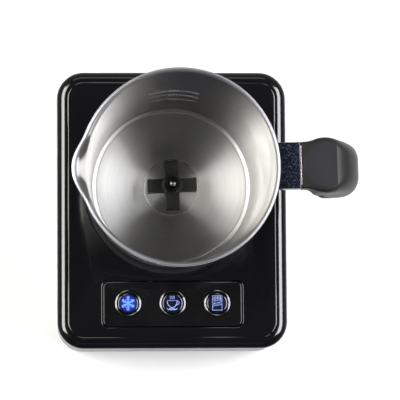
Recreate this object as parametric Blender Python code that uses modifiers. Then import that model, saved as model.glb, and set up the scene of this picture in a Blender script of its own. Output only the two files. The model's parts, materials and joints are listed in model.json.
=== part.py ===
"""Milk frother: induction base, open steel jug with handle, and magnetic whisk."""
import math

import bmesh
import bpy

# ---------------------------------------------------------------- driving dimensions, metres
HALF_WIDTH = 0.07325        # base, along X
HALF_DEPTH = 0.0886         # base, along Y
CORNER_RADIUS = 0.017       # base corners seen from above
FOOT_HEIGHT = 0.0020        # ground to the underside of the housing
HOUSING_TOP = 0.0520        # silver side wall ends here
DECK_Z = 0.0580             # flat top of the black cover
WALL = 0.0022               # plastic wall
DECK_WALL = 0.0020          # the deck, over the coil
SETBACK = 0.0006            # the silver wall stands this far inside the black edge
GAP = 0.0003                # between pieces that touch

AXIS_DX = -0.0009           # jug axis, from the base centre
AXIS_DY = 0.0135
JUG_YAW = math.radians(1.05)
FLOOR_Z = 0.0660            # inside floor of the jug
RIM_Z = 0.1880              # top of the jug
FLOOR_RADIUS = 0.0504       # inside wall at the floor
MOUTH_RADIUS = 0.0572       # inside wall at the rim
STEEL = 0.0010              # jug wall
BEAD = 0.0010               # radius of the rolled rim
SPOUT_REACH = 0.0059        # how far the lip stands out of the rim
SPOUT_HALF_ANGLE = math.radians(19)
SPOUT_DROP = 0.034          # how far down the lip starts

GRIP_REACH = 0.1085         # jug axis to the outer face of the grip
HANDLE_TOP = 0.1820
HANDLE_LOW = 0.1630         # underside of the stem
BRACKET = (0.0120, 0.0030)  # width and thickness of the steel bracket in the handle
SEAM_X = 0.0720             # trim plate between stem and grip, from the jug axis
HANDLE_HALF_WIDTH = 0.0140
GRIP_BOTTOM = 0.1080

BUTTON_Y = -0.0600
POWER_Y = -0.0520           # middle of the power board
BUTTON_PITCH = 0.0284
PANEL_SIZE = (0.0910, 0.0300)
PANEL_Y = -0.0604

SEAT_RADIUS = 0.0550
SEAT_TOP = 0.0572
SEAT_UNDERSIDE = 0.0539

WHISK_SPAN = 0.0310
WHISK_ARM = 0.0083
PIN_RADIUS = 0.0017
PIN_BALL = 0.0020           # the head that a lifted whisk slides over

FAN_PLACE = (-0.037, 0.047)
FAN_LOW = 0.0075
GLAND_X = 0.030
GLAND_Z = 0.0120
GLAND_SIZE = (0.0120, 0.0080, 0.0120)
CARRIER_LOW = 0.0475        # underside of the coil's carrier

# the frame's origin is under the middle of the object's box, and the base centre is to the left of it
BASE_X = (HALF_WIDTH - AXIS_DX - GRIP_REACH) / 2


# ---------------------------------------------------------------- scene and helpers
def clear_scene():
    for obj in list(bpy.data.objects):
        bpy.data.objects.remove(obj, do_unlink=True)
    for coll in list(bpy.data.collections):
        bpy.data.collections.remove(coll)


def new_collection(name):
    coll = bpy.data.collections.new(name)
    bpy.context.scene.collection.children.link(coll)
    return coll


clear_scene()
PARTS = new_collection("milk_frother")
CUTTERS = new_collection("cutters")


def new_empty(name, location, yaw=0.0):
    obj = bpy.data.objects.new(name, None)
    obj.location = location
    obj.rotation_euler = (0, 0, yaw)
    PARTS.objects.link(obj)
    return obj


def material(name, rgb, roughness, metallic=0.0):
    mat = bpy.data.materials.new(name)
    mat.use_nodes = True
    shader = mat.node_tree.nodes["Principled BSDF"]
    shader.inputs["Base Color"].default_value = (*rgb, 1)
    shader.inputs["Roughness"].default_value = roughness
    shader.inputs["Metallic"].default_value = metallic
    return mat


def add_object(name, mesh, mat, parent, location=(0, 0, 0), smooth=30):
    obj = bpy.data.objects.new(name, mesh)
    obj.location = location
    obj.parent = parent
    if mat is not None:
        mesh.materials.append(mat)
        mesh.shade_smooth()
        mesh.set_sharp_from_angle(angle=math.radians(smooth))
    (CUTTERS if mat is None else PARTS).objects.link(obj)
    if mat is None:
        obj.hide_render = True
        obj.display_type = 'WIRE'
    return obj


def mesh_from(bm, name):
    mesh = bpy.data.meshes.new(name)
    bm.to_mesh(mesh)
    bm.free()
    return mesh


def block(name, size, low_centre, mat, parent, corner=0.0, segments=4, edge=0.0):
    """A box standing on low_centre, with rounded upright corners and a small bevel on its other edges."""
    bm = bmesh.new()
    bmesh.ops.create_cube(bm, size=1)
    bmesh.ops.scale(bm, vec=size, verts=bm.verts)
    bmesh.ops.translate(bm, vec=(0, 0, size[2] / 2), verts=bm.verts)
    if corner:
        upright = [e for e in bm.edges if abs(e.verts[0].co.z - e.verts[1].co.z) > size[2] / 2]
        bmesh.ops.bevel(bm, geom=upright, offset=corner, segments=segments, affect='EDGES', profile=0.5)
    if edge:
        level = [e for e in bm.edges if abs(e.verts[0].co.z - e.verts[1].co.z) < 1e-6]
        bmesh.ops.bevel(bm, geom=level, offset=edge, segments=1, affect='EDGES', profile=0.5)
    return add_object(name, mesh_from(bm, name), mat, parent, low_centre)


def turned(name, profile, mat, parent, location=(0, 0, 0), steps=24, closed=False):
    """A turned piece from (radius, height) points that run down the outer side."""
    bm = bmesh.new()
    verts = [bm.verts.new((r, 0, z)) for r, z in profile]
    for a, b in zip(verts, verts[1:]):
        bm.edges.new((a, b))
    if closed:
        bm.edges.new((verts[-1], verts[0]))
    obj = add_object(name, mesh_from(bm, name), mat, parent, location)
    screw = obj.modifiers.new("turn", 'SCREW')
    screw.angle = math.tau
    screw.steps = steps
    screw.render_steps = steps
    screw.use_merge_vertices = True
    screw.merge_threshold = 0.00001
    screw.use_smooth_shade = True
    return obj


def disc(name, radius, low, high, mat, parent, location=(0, 0, 0), steps=24):
    return turned(name, [(0, high), (radius, high), (radius, low), (0, low)], mat, parent, location, steps)


def ring(name, inner, outer, low, high, mat, parent, location=(0, 0, 0), steps=24):
    profile = [(outer, high), (outer, low), (inner, low), (inner, high)]
    return turned(name, profile, mat, parent, location, steps, closed=True)


def extruded(name, outline, half_thickness, mat, parent, rotation=(0, 0, 0), location=(0, 0, 0)):
    """A flat outline with thickness, made a welded mesh so that it can be bevelled or cut."""
    curve = bpy.data.curves.new(name, 'CURVE')
    curve.dimensions = '2D'
    curve.fill_mode = 'BOTH'
    curve.extrude = half_thickness
    spline = curve.splines.new('POLY')
    spline.points.add(len(outline) - 1)
    for point, (x, y) in zip(spline.points, outline):
        point.co = (x, y, 0, 1)
    spline.use_cyclic_u = True
    temp = bpy.data.objects.new(name + "_outline", curve)
    bpy.context.scene.collection.objects.link(temp)
    bpy.context.view_layer.update()
    mesh = bpy.data.meshes.new_from_object(temp.evaluated_get(bpy.context.evaluated_depsgraph_get()))
    bpy.data.objects.remove(temp, do_unlink=True)
    bm = bmesh.new()
    bm.from_mesh(mesh)
    bmesh.ops.remove_doubles(bm, verts=bm.verts, dist=1e-6)
    bmesh.ops.recalc_face_normals(bm, faces=bm.faces)
    bm.to_mesh(mesh)
    bm.free()
    mesh.name = name
    obj = add_object(name, mesh, mat, parent, location)
    obj.rotation_euler = rotation
    return obj


def combine(obj, other, operation):
    mod = obj.modifiers.new(operation.lower(), 'BOOLEAN')
    mod.operation = operation
    mod.solver = 'EXACT'
    mod.object = other
    return obj


def cut(obj, cutter):
    return combine(obj, cutter, 'DIFFERENCE')


def join(obj, other):
    return combine(obj, other, 'UNION')


def arc(cx, cy, radius, start, end, count):
    """Points on an arc, angles in degrees."""
    angles = [math.radians(start + (end - start) * i / count) for i in range(count + 1)]
    return [(cx + radius * math.cos(a), cy + radius * math.sin(a)) for a in angles]


# ---------------------------------------------------------------- materials
BLACK_GLOSS = material("glossy_black_abs", (0.006, 0.006, 0.008), 0.12)
SILVER_SIDE = material("silver_housing", (0.55, 0.55, 0.56), 0.35, 1.0)
PANEL_BLACK = material("panel_black", (0.012, 0.012, 0.016), 0.22)
BUTTON_NAVY = material("button_navy", (0.010, 0.014, 0.05), 0.25)
CHROME = material("chrome", (0.8, 0.8, 0.82), 0.08, 1.0)
STEEL_BRUSHED = material("brushed_steel", (0.6, 0.59, 0.57), 0.3, 1.0)
SOFT_GRIP = material("soft_grip", (0.035, 0.035, 0.037), 0.6)
WHISK_PLASTIC = material("whisk_plastic", (0.03, 0.03, 0.032), 0.45)
RUBBER = material("rubber", (0.02, 0.02, 0.02), 0.8)
COPPER = material("copper", (0.75, 0.35, 0.18), 0.3, 1.0)
FERRITE = material("ferrite", (0.05, 0.05, 0.05), 0.6)
BOARD_GREEN = material("board_green", (0.02, 0.18, 0.06), 0.5)
INNER_PLASTIC = material("inner_plastic", (0.3, 0.3, 0.28), 0.5)
ALUMINIUM = material("aluminium", (0.7, 0.7, 0.7), 0.4, 1.0)
MAGNET = material("magnet", (0.5, 0.5, 0.5), 0.3, 1.0)

BASE = new_empty("base_frame", (BASE_X, 0, 0))
AXIS = new_empty("drive_axis", (BASE_X + AXIS_DX, AXIS_DY, 0))
JUG = new_empty("jug_frame", (BASE_X + AXIS_DX, AXIS_DY, 0), JUG_YAW)
WHISK = new_empty("whisk_frame", (BASE_X + AXIS_DX, AXIS_DY, 0), JUG_YAW + math.radians(1))

SCREW_PLACES = [(sx * 0.060, sy * 0.075) for sx in (-1, 1) for sy in (-1, 1)]
FOOT_PLACES = [(sx * 0.061, sy * 0.058) for sx in (-1, 1) for sy in (-1, 1)]
POST_LOW = 0.0143
FLOOR_TOP = FOOT_HEIGHT + 0.0025


# ---------------------------------------------------------------- base shells
def make_bottom_housing():
    size = (2 * (HALF_WIDTH - SETBACK), 2 * (HALF_DEPTH - SETBACK), HOUSING_TOP - FOOT_HEIGHT)
    housing = block("bottom_housing", size, (0, 0, FOOT_HEIGHT), SILVER_SIDE, BASE,
                    CORNER_RADIUS - SETBACK, 8, 0.0008)
    room = (size[0] - 2 * WALL, size[1] - 2 * WALL, HOUSING_TOP)
    inner_corner = CORNER_RADIUS - SETBACK - WALL
    cut(housing, block("housing_room", room, (0, 0, FLOOR_TOP), None, BASE, inner_corner, 8))
    for i, (x, y) in enumerate(SCREW_PLACES):
        join(housing, disc(f"boss_{i}", 0.0053, FLOOR_TOP - 0.001, POST_LOW - GAP, None, BASE, (x, y, 0), 16))
        stepped = [(0, 0.0300), (0.0020, 0.0300), (0.0020, 0.0060), (0.0040, 0.0060), (0.0040, 0), (0, 0)]
        cut(housing, turned(f"boss_hole_{i}", stepped, None, BASE, (x, y, 0), 12))
    for i in range(5):                  # air slots under the fan
        y = FAN_PLACE[1] + (i - 2) * 0.0065
        slot = block(f"air_slot_{i}", (0.028, 0.0030, 0.008), (FAN_PLACE[0], y, 0), None, BASE)
        cut(housing, slot)
    cut(housing, block("gland_hole", (GLAND_SIZE[0], 0.02, GLAND_SIZE[2]),
                       (GLAND_X, HALF_DEPTH, GLAND_Z), None, BASE, 0.0015, 2))
    return housing


def make_top_cover():
    """A flat deck whose edge curves down to a low upright band all round, over the silver wall."""
    turn_width, turn_angle, turn_steps = 0.0066, math.radians(50), 5
    room_low = 0.045
    radius = turn_width / math.sin(turn_angle)
    turn_start = DECK_Z - radius * (1 - math.cos(turn_angle))
    bm = bmesh.new()
    bmesh.ops.create_cube(bm, size=1)
    height = turn_start - HOUSING_TOP - GAP
    bmesh.ops.scale(bm, vec=(2 * HALF_WIDTH, 2 * HALF_DEPTH, height), verts=bm.verts)
    bmesh.ops.translate(bm, vec=(0, 0, turn_start - height / 2), verts=bm.verts)
    upright = [e for e in bm.edges if abs(e.verts[0].co.z - e.verts[1].co.z) > height / 2]
    bmesh.ops.bevel(bm, geom=upright, offset=CORNER_RADIUS, segments=8, affect='EDGES', profile=0.5)
    top = max(bm.faces, key=lambda f: f.calc_center_median().z)
    tilts = [turn_angle * (1 - i / turn_steps) for i in range(turn_steps + 1)]
    for a, b in zip(tilts, tilts[1:]):
        bmesh.ops.inset_region(bm, faces=[top], thickness=radius * (math.sin(a) - math.sin(b)),
                               depth=radius * (math.cos(b) - math.cos(a)), use_even_offset=True)
    cover = add_object("top_cover", mesh_from(bm, "top_cover"), BLACK_GLOSS, BASE)
    room = (2 * (HALF_WIDTH - WALL), 2 * (HALF_DEPTH - WALL), DECK_Z - DECK_WALL - room_low)
    cut(cover, block("cover_room", room, (0, 0, room_low), None, BASE, CORNER_RADIUS - WALL, 8))
    for i, (x, y) in enumerate(SCREW_PLACES):
        join(cover, disc(f"post_{i}", 0.0048, POST_LOW, DECK_Z - 0.001, None, BASE, (x, y, 0), 12))
        cut(cover, disc(f"post_hole_{i}", 0.0020, 0, 0.0300, None, BASE, (x, y, 0), 10))
    cut(cover, disc("seat_opening", SEAT_RADIUS + 2 * GAP, 0.050, 0.070, None, AXIS, steps=48))
    opening = (PANEL_SIZE[0] + 2 * GAP, PANEL_SIZE[1] + 2 * GAP, 0.02)
    cut(cover, block("panel_opening", opening, (0, PANEL_Y, 0.050), None, BASE, 0.0032 + GAP, 4))
    return cover


def make_seat_plate():
    ledge = DECK_Z - DECK_WALL - GAP
    flange = SEAT_RADIUS + WALL
    profile = [(0.0030, SEAT_TOP), (SEAT_RADIUS, SEAT_TOP), (SEAT_RADIUS, ledge), (flange, ledge),
               (flange, SEAT_UNDERSIDE), (0.0030, SEAT_UNDERSIDE)]
    return turned("seat_plate", profile, PANEL_BLACK, AXIS, steps=48, closed=True)


def make_control_panel():
    panel = block("control_panel", (*PANEL_SIZE, 0.0027), (0, PANEL_Y, 0.0555), PANEL_BLACK, BASE,
                  0.0032, 4, 0.0004)
    for i in range(3):
        x = (i - 1) * BUTTON_PITCH
        cut(panel, disc(f"ring_hole_{i}", 0.0085 + GAP, 0.050, 0.060, None, BASE, (x, BUTTON_Y, 0), 24))
    return panel


BUTTON_NAMES = ("cold", "hot", "chocolate")


def make_buttons():
    """Each button is a bright ring, a domed cap with a stem, and the switch that the stem presses."""
    for i, word in enumerate(BUTTON_NAMES):
        place = ((i - 1) * BUTTON_PITCH, BUTTON_Y, 0)
        profile = [(0.0078, 0.0589), (0.0085, 0.0583), (0.0085, 0.0557), (0.0071, 0.0557), (0.0071, 0.0583)]
        turned(f"button_ring_{word}", profile, CHROME, BASE, place, 24, closed=True)
        cap = [(0, 0.0587), (0.0056, 0.0585), (0.0068, 0.0580), (0.0068, 0.0566), (0.0016, 0.0566),
               (0.0016, 0.0536), (0, 0.0536)]
        turned(f"button_cap_{word}", cap, BUTTON_NAVY, BASE, place, 20)
        block(f"tact_switch_{word}", (0.0060, 0.0060, 0.0035), (place[0], place[1], 0.0490 + GAP),
              FERRITE, BASE)


def make_boards():
    block("control_board", (0.084, 0.026, 0.0016), (0, BUTTON_Y, 0.0474), BOARD_GREEN, BASE)
    block("power_board", (0.100, 0.044, 0.0016), (0, POWER_Y, 0.0090), BOARD_GREEN, BASE)
    on_board = 0.0106 + GAP
    sink_x = -0.028
    sink = block("heat_sink", (0.032, 0.024, 0.026), (sink_x, POWER_Y, on_board), ALUMINIUM, BASE)
    for i in range(4):
        x = sink_x + (i - 1.5) * 0.0072
        cut(sink, block(f"fin_gap_{i}", (0.0044, 0.03, 0.03), (x, POWER_Y, on_board + 0.005), None, BASE))
    disc("filter_capacitor", 0.0080, on_board, on_board + 0.025, FERRITE, BASE, (0.008, POWER_Y, 0), 24)
    choke = [(0.0095, on_board + 0.012), (0.0110, on_board + 0.010), (0.0110, on_board + 0.002),
             (0.0095, on_board), (0.0045, on_board), (0.0032, on_board + 0.002), (0.0032, on_board + 0.010),
             (0.0045, on_board + 0.012)]
    turned("filter_choke", choke, COPPER, BASE, (0.034, POWER_Y, 0), 16, closed=True)


# ---------------------------------------------------------------- heating, sensing and drive
def make_heating():
    ring("induction_coil", 0.0190, 0.0450, 0.0505, 0.0529, COPPER, AXIS, steps=32)
    ring("coil_carrier", 0.0165, 0.0480, CARRIER_LOW, 0.0502, INNER_PLASTIC, AXIS, steps=32)
    for i in range(4):
        turn = new_empty(f"ferrite_turn_{i}", (0, 0, 0), math.radians(45 + 90 * i))
        turn.parent = AXIS
        block(f"ferrite_bar_{i + 1}", (0.024, 0.008, 0.0030), (0.033, 0, CARRIER_LOW - GAP - 0.0030),
              FERRITE, turn)


def make_sensor():
    """A capped sensor that touches the sole through the seat plate, and the cup that its flange slides in."""
    flange_top = SEAT_UNDERSIDE - GAP
    cap = [(0, SEAT_TOP), (0.0018, SEAT_TOP - 0.0001), (0.0025, SEAT_TOP - 0.0008), (0.0025, flange_top),
           (0.0034, flange_top), (0.0034, flange_top - 0.0007), (0, flange_top - 0.0007)]
    turned("temperature_sensor", cap, ALUMINIUM, AXIS, steps=12)
    cup_low = 0.0510
    cup = [(0.0047, flange_top), (0.0047, cup_low), (0.0012, cup_low), (0.0012, cup_low + 0.0006),
           (0.0038, cup_low + 0.0006), (0.0038, flange_top)]
    turned("sensor_holder", cup, INNER_PLASTIC, AXIS, steps=16, closed=True)


def make_motor():
    motor = [(0, 0.0430), (0.0030, 0.0430), (0.0030, 0.0415), (0.0112, 0.0415), (0.0120, 0.0407),
             (0.0120, 0.0180), (0.0112, 0.0172), (0.0040, 0.0172), (0.0040, 0.0150), (0, 0.0150)]
    turned("motor", motor, ALUMINIUM, AXIS, steps=20)
    bracket = block("motor_bracket", (0.028, 0.044, 0.0018), (0, 0, 0.0415 + GAP), INNER_PLASTIC, AXIS)
    cut(bracket, disc("bracket_hole", 0.0045, 0.03, 0.06, None, AXIS, steps=24))
    for i, side in enumerate((-1, 1)):
        leg_height = 0.0425 - FLOOR_TOP - GAP
        leg_place = (0, side * 0.0205, FLOOR_TOP + GAP)
        join(bracket, block(f"bracket_leg_{i}", (0.016, 0.003, leg_height), leg_place, None, AXIS))
    disc("motor_shaft", 0.0012, 0.0430 + GAP, 0.0498, STEEL_BRUSHED, AXIS, steps=12)
    carrier = [(0.0015, 0.0505), (0.0140, 0.0505), (0.0145, 0.0500), (0.0145, 0.0460), (0.0050, 0.0460),
               (0.0050, 0.0442), (0.0015, 0.0442)]
    carrier = turned("magnet_carrier", carrier, INNER_PLASTIC, AXIS, steps=24, closed=True)
    reach, radius, pocket_low = 0.0092, 0.0040, 0.0472
    for i in range(4):
        angle = math.radians(45 + 90 * i)
        spot = (reach * math.cos(angle), reach * math.sin(angle), 0)
        cut(carrier, disc(f"magnet_pocket_{i}", radius + GAP, pocket_low, 0.06, None, AXIS, spot, 12))
        disc(f"drive_magnet_{i + 1}", radius, pocket_low + GAP, 0.0505, MAGNET, AXIS, spot, 12)


def make_fan():
    frame = block("fan_frame", (0.040, 0.040, 0.010), (*FAN_PLACE, FAN_LOW), FERRITE, BASE, 0.003, 2)
    cut(frame, disc("fan_bore", 0.0185, 0, 0.03, None, BASE, (*FAN_PLACE, 0), 32))
    for i in range(2):                   # a cross that carries the rotor, with a pin in its middle
        size = (0.0385, 0.0030, 0.0012) if i == 0 else (0.0030, 0.0385, 0.0012)
        join(frame, block(f"fan_spoke_{i}", size, (*FAN_PLACE, FAN_LOW), None, BASE))
    join(frame, disc("fan_pin", 0.0012, FAN_LOW, FAN_LOW + 0.0070, None, BASE, (*FAN_PLACE, 0), 12))
    low = FAN_LOW + 0.0016
    hub = [(0.0015, low + 0.0076), (0.0068, low + 0.0076), (0.0075, low + 0.0068), (0.0075, low),
           (0.0015, low)]
    rotor = turned("fan_rotor", hub, INNER_PLASTIC, BASE, (*FAN_PLACE, 0), 24, closed=True)
    for i in range(7):
        turn = new_empty(f"blade_turn_{i}", (*FAN_PLACE, low + 0.0038), math.tau * i / 7)
        turn.parent = BASE
        blade = block(f"fan_blade_{i}", (0.0112, 0.0010, 0.0068), (0.0120, 0.0020, -0.0026), None, turn)
        blade.rotation_euler = (math.radians(38), 0, 0)
        join(rotor, blade)


def make_small_parts():
    """The cord gland at the back, the feet and the screws."""
    inner = GLAND_SIZE[0] - 2 * GAP
    depth = GLAND_SIZE[1]
    place = (GLAND_X, HALF_DEPTH - SETBACK - depth / 2, GLAND_Z + GAP)
    gland = block("cord_gland", (inner, depth, inner), place, RUBBER, BASE, 0.0012, 2)
    bore_place = (GLAND_X, HALF_DEPTH - 0.005, GLAND_Z + GLAND_SIZE[2] / 2)
    bore = disc("cord_bore", 0.0033, -0.01, 0.01, None, BASE, bore_place, 20)
    bore.rotation_euler = (math.radians(90), 0, 0)
    cut(gland, bore)
    for i, (x, y) in enumerate(FOOT_PLACES):
        foot = [(0, FOOT_HEIGHT - GAP), (0.0075, FOOT_HEIGHT - GAP), (0.0075, 0.0006), (0.0069, 0), (0, 0)]
        turned(f"rubber_foot_{i + 1}", foot, RUBBER, BASE, (x, y, 0), 16)
    for i, (x, y) in enumerate(SCREW_PLACES):
        screw = [(0, 0.0270), (0.0012, 0.0262), (0.0016, 0.0250), (0.0016, 0.0057), (0.0034, 0.0057),
                 (0.0034, 0.0040), (0.0028, 0.0034), (0, 0.0034)]
        turned(f"housing_screw_{i + 1}", screw, MAGNET, BASE, (x, y, 0), 10)


# ---------------------------------------------------------------- jug
def outer_radius(z):
    """Outside of the jug wall at height z."""
    share = (z - FLOOR_Z) / (RIM_Z - FLOOR_Z)
    return FLOOR_RADIUS + STEEL + share * (MOUTH_RADIUS - FLOOR_RADIUS)


def wall_height(share):
    return FLOOR_Z + share * (RIM_Z - FLOOR_Z)


def spout_shift(angle, z):
    """How far the wall moves out at an angle from the lip's middle: a lip, and a wide shallow gather."""
    rise = max(0.0, 1 - (RIM_Z - z) / SPOUT_DROP)
    lip = max(0.0, 1 - abs(angle) / SPOUT_HALF_ANGLE)
    lip = lip * lip * (3 - 2 * lip) * 0.75 + lip * 0.25
    wide = max(0.0, 1 - abs(angle) / math.radians(52))
    wide = wide * wide * (3 - 2 * wide)
    return (lip * (SPOUT_REACH - 0.0012) * rise ** 1.6) + wide * 0.0012 * rise


def make_jug_body():
    inner_floor, corner = FLOOR_Z, 0.0025
    inner = [(0, inner_floor + 0.0005), (0.0170, inner_floor + 0.0005), (0.0180, inner_floor)]
    inner += [(FLOOR_RADIUS + x, inner_floor + y) for x, y in arc(-corner, corner, corner, -90, 0, 2)]
    lean = (MOUTH_RADIUS - FLOOR_RADIUS) / (RIM_Z - FLOOR_Z)
    rows = (0.72, 0.83, 0.92)
    inner += [(FLOOR_RADIUS + lean * (wall_height(s) - FLOOR_Z), wall_height(s)) for s in rows]
    bead_x, bead_z = MOUTH_RADIUS + BEAD, RIM_Z - BEAD
    rim = arc(bead_x, bead_z, BEAD, 180, -60, 4)
    outer = [(outer_radius(wall_height(s)), wall_height(s)) for s in reversed(rows)]
    foot_x, foot_z = FLOOR_RADIUS + STEEL, FLOOR_Z - STEEL
    outer += [(foot_x + x, foot_z + y) for x, y in arc(-0.0012, 0.0012, 0.0012, 0, -90, 2)]
    outer += [(0, foot_z)]
    body = turned("jug_body", inner + rim + outer, STEEL_BRUSHED, JUG, steps=60)
    bpy.context.view_layer.update()
    mesh = bpy.data.meshes.new_from_object(body.evaluated_get(bpy.context.evaluated_depsgraph_get()))
    body.modifiers.clear()
    body.data = mesh
    for v in mesh.vertices:
        radius = math.hypot(v.co.x, v.co.y)
        if v.co.z > RIM_Z - SPOUT_DROP and radius > FLOOR_RADIUS:
            shift = spout_shift(math.atan2(v.co.y, -v.co.x), v.co.z)
            v.co.x *= (radius + shift) / radius
            v.co.y *= (radius + shift) / radius
    return body


def make_jug_bottom():
    low, high = SEAT_TOP + GAP, FLOOR_Z - STEEL - GAP
    profile = [(0, high), (0.0506, high), (0.0506, low + 0.0016), (0.0490, low), (0, low)]
    turned("jug_sole", profile, STEEL_BRUSHED, JUG, steps=48)
    foot = FLOOR_Z + 0.0005 + GAP
    ball_z = 0.0880
    pin = [(0, ball_z + PIN_BALL)] + arc(0, ball_z, PIN_BALL, 50, -30, 3)
    pin += [(PIN_RADIUS, foot + 0.0012), (0.0040, foot + 0.0008), (0.0040, foot), (0, foot)]
    turned("whisk_pin", pin, CHROME, JUG, steps=16)


def make_handle():
    """Stem, trim plate and grip run out from the wall just under the rim; the grip hangs down from there."""
    low, stem_start = HANDLE_LOW, 0.050
    stem_length = SEAM_X - 0.0004 - stem_start
    stem = block("handle_stem", (stem_length, 2 * HANDLE_HALF_WIDTH - 0.0012, HANDLE_TOP - 0.0008 - low),
                 (stem_start + stem_length / 2, 0, low), BLACK_GLOSS, JUG)
    bevel = stem.modifiers.new("round", 'BEVEL')
    bevel.width = 0.0022
    bevel.segments = 3
    bevel.limit_method = 'ANGLE'
    wall = [(0, 0.20), (outer_radius(0.20) + GAP, 0.20), (outer_radius(0.15) + GAP, 0.15), (0, 0.15)]
    cut(stem, turned("stem_wall", wall, None, JUG, steps=72))
    tab_low, tab_start, tab_end = 0.1720, 0.0500, 0.0900
    slot = (tab_end - tab_start + GAP, BRACKET[0] + 2 * GAP, BRACKET[1] + 2 * GAP)
    slot_place = ((tab_start + tab_end + GAP) / 2, 0, tab_low - GAP)
    plate_size = (0.0007, 2 * HANDLE_HALF_WIDTH - 0.0022, HANDLE_TOP - 0.0004 - low)
    trim = block("handle_trim", plate_size, (SEAM_X + 0.00025, 0, low), CHROME, JUG)
    grip_start = SEAM_X + 0.0009
    outline = [(grip_start, low), (grip_start, HANDLE_TOP)]
    outline += arc(GRIP_REACH - 0.0150, HANDLE_TOP - 0.0150, 0.0150, 90, 0, 6)
    outline += arc(GRIP_REACH - 0.0125, GRIP_BOTTOM + 0.0115, 0.0115, -12, -120, 6)
    outline += [(0.0850, GRIP_BOTTOM + 0.0075), (0.0830, 0.1250), (0.0805, 0.1420), (0.0790, 0.1540),
                (0.0765, 0.1605)]
    grip = extruded("handle_grip", outline, HANDLE_HALF_WIDTH + 0.0015, SOFT_GRIP, JUG,
                    (math.radians(90), 0, 0))
    bevel = grip.modifiers.new("round", 'BEVEL')
    bevel.width = 0.0040
    bevel.segments = 3
    bevel.limit_method = 'ANGLE'
    bevel.angle_limit = math.radians(50)
    pad_x, pad_radius, recess = 0.0880, 0.0132, HANDLE_TOP - 0.0012
    cut(grip, disc("pad_recess", pad_radius + GAP, recess, 0.2, None, JUG, (pad_x, 0, 0), 24))
    pad = [(0, HANDLE_TOP + 0.0006), (0.0105, HANDLE_TOP + 0.0005), (0.0128, HANDLE_TOP),
           (pad_radius, HANDLE_TOP - 0.0004), (pad_radius, recess + GAP), (0, recess + GAP)]
    turned("thumb_pad", pad, SOFT_GRIP, JUG, (pad_x, 0, 0), 24)
    for piece in (stem, trim, grip):
        cut(piece, block("tab_slot_" + piece.name, slot, slot_place, None, JUG))
    bracket = block("handle_bracket", (tab_end - tab_start, *BRACKET),
                    ((tab_start + tab_end) / 2, 0, tab_low), STEEL_BRUSHED, JUG)
    cut(bracket, turned("bracket_wall", wall, None, JUG, steps=72))
    screw_x, seat_z = 0.0790, 0.1640
    cut(bracket, disc("bracket_thread", 0.0018, 0.16, 0.18, None, JUG, (screw_x, 0, 0), 12))
    stepped = [(0, 0.1730), (0.0018, 0.1730), (0.0018, seat_z), (0.0030, seat_z), (0.0030, 0.1500),
               (0, 0.1500)]
    cut(grip, turned("screw_hole", stepped, None, JUG, (screw_x, 0, 0), 16))
    head_low = seat_z - GAP - 0.0018
    screw = [(0, 0.1748), (0.0015, 0.1742), (0.0015, seat_z - GAP), (0.0026, seat_z - GAP),
             (0.0026, head_low + 0.0004), (0.0022, head_low), (0, head_low)]
    turned("handle_screw", screw, MAGNET, JUG, (screw_x, 0, 0), 12)
    return grip


# ---------------------------------------------------------------- whisk
def make_whisk():
    low, high = FLOOR_Z + 0.0030, FLOOR_Z + 0.0148
    bore, bush_radius, magnet = PIN_BALL + GAP, 0.0042, 0.0030
    bush = [(bush_radius - 0.0002, 0.0858), (bush_radius, 0.0852), (bush_radius, low + 0.0005),
            (bore, low + 0.0005), (bore, 0.0850), (bore + 0.0006, 0.0858)]
    turned("whisk_bush", bush, WHISK_PLASTIC, WHISK, steps=20, closed=True)
    along, across = (WHISK_SPAN, WHISK_ARM, high - low), (WHISK_ARM, WHISK_SPAN, high - low)
    arm = block("whisk_cross", along, (0, 0, low), WHISK_PLASTIC, WHISK, 0.0008, 2)
    join(arm, block("whisk_arm", across, (0, 0, low), None, WHISK, 0.0008, 2))
    join(arm, disc("whisk_hub", 0.0066, low, 0.0838, None, WHISK, steps=24))
    for i, side in enumerate((-1, 1)):
        spot = (side * 0.0105, 0, 0)
        cut(arm, disc(f"whisk_pocket_{i}", magnet + GAP, 0.05, low + 0.0036, None, WHISK, spot, 12))
        disc(f"whisk_magnet_{i + 1}", magnet, low + 0.0002, low + 0.0033, MAGNET, WHISK, spot, 12)
    cut(arm, disc("whisk_bore", bush_radius + GAP, 0.05, 0.10, None, WHISK, steps=20))


make_bottom_housing()
make_top_cover()
make_seat_plate()
make_control_panel()
make_buttons()
make_boards()
make_heating()
make_sensor()
make_motor()
make_fan()
make_small_parts()
make_jug_body()
make_jug_bottom()
make_handle()
make_whisk()
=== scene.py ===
import bpy
import bmesh
import json
import math
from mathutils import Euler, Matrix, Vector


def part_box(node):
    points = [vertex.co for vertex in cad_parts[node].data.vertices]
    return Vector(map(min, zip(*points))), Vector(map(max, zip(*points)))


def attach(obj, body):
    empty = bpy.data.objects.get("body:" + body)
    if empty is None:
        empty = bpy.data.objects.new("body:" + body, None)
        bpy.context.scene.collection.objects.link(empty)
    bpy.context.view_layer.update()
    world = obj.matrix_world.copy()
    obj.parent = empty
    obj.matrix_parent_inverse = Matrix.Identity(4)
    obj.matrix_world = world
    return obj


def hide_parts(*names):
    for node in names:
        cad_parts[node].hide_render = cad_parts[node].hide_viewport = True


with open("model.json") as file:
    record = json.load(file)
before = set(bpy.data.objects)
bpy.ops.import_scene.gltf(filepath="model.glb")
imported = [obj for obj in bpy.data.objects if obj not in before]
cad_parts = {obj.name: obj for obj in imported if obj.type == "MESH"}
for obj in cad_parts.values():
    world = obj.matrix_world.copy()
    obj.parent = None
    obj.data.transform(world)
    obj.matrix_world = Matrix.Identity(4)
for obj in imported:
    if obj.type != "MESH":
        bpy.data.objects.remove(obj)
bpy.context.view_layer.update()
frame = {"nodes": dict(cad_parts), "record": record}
scene = bpy.context.scene

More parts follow.
